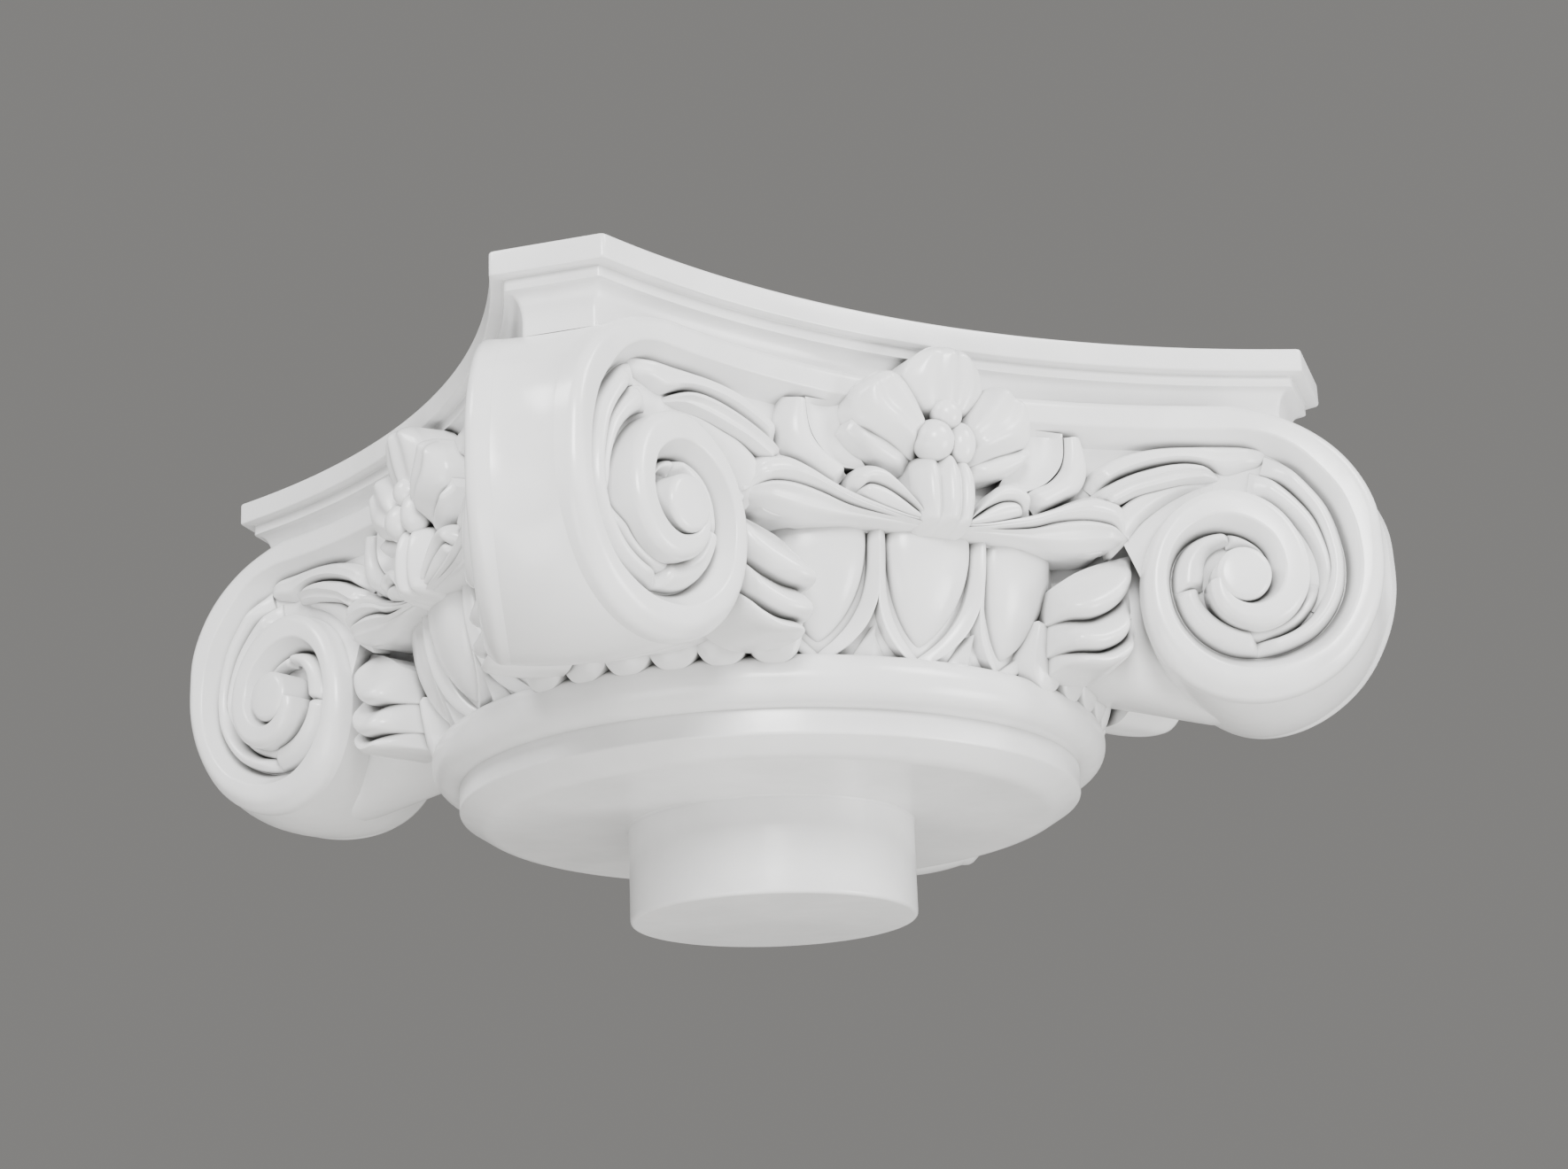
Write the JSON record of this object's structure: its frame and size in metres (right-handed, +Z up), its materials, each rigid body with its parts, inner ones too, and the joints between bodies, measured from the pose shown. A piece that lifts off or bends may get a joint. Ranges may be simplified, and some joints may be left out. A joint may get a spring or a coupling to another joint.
{
  "type": "angular ionic column capital",
  "caption": "Cast white angular Ionic column capital with diagonal corner volutes, concave abacus, carved flowers, acanthus and egg-and-dart, and a round locating boss below.",
  "frame": {"origin": "centre of the locating boss's flat underside", "axes": "+Z up along the column's axis, -Y and +X out of the middle of two carved faces, corners on the diagonals"},
  "size_m": [0.3882, 0.3882, 0.2014],
  "materials": {
    "cast_foam": "factory-primed satin white over rigid foam"
  },
  "bodies": {
    "root": {"capital": "cast_foam"}
  },
  "joints": []
}
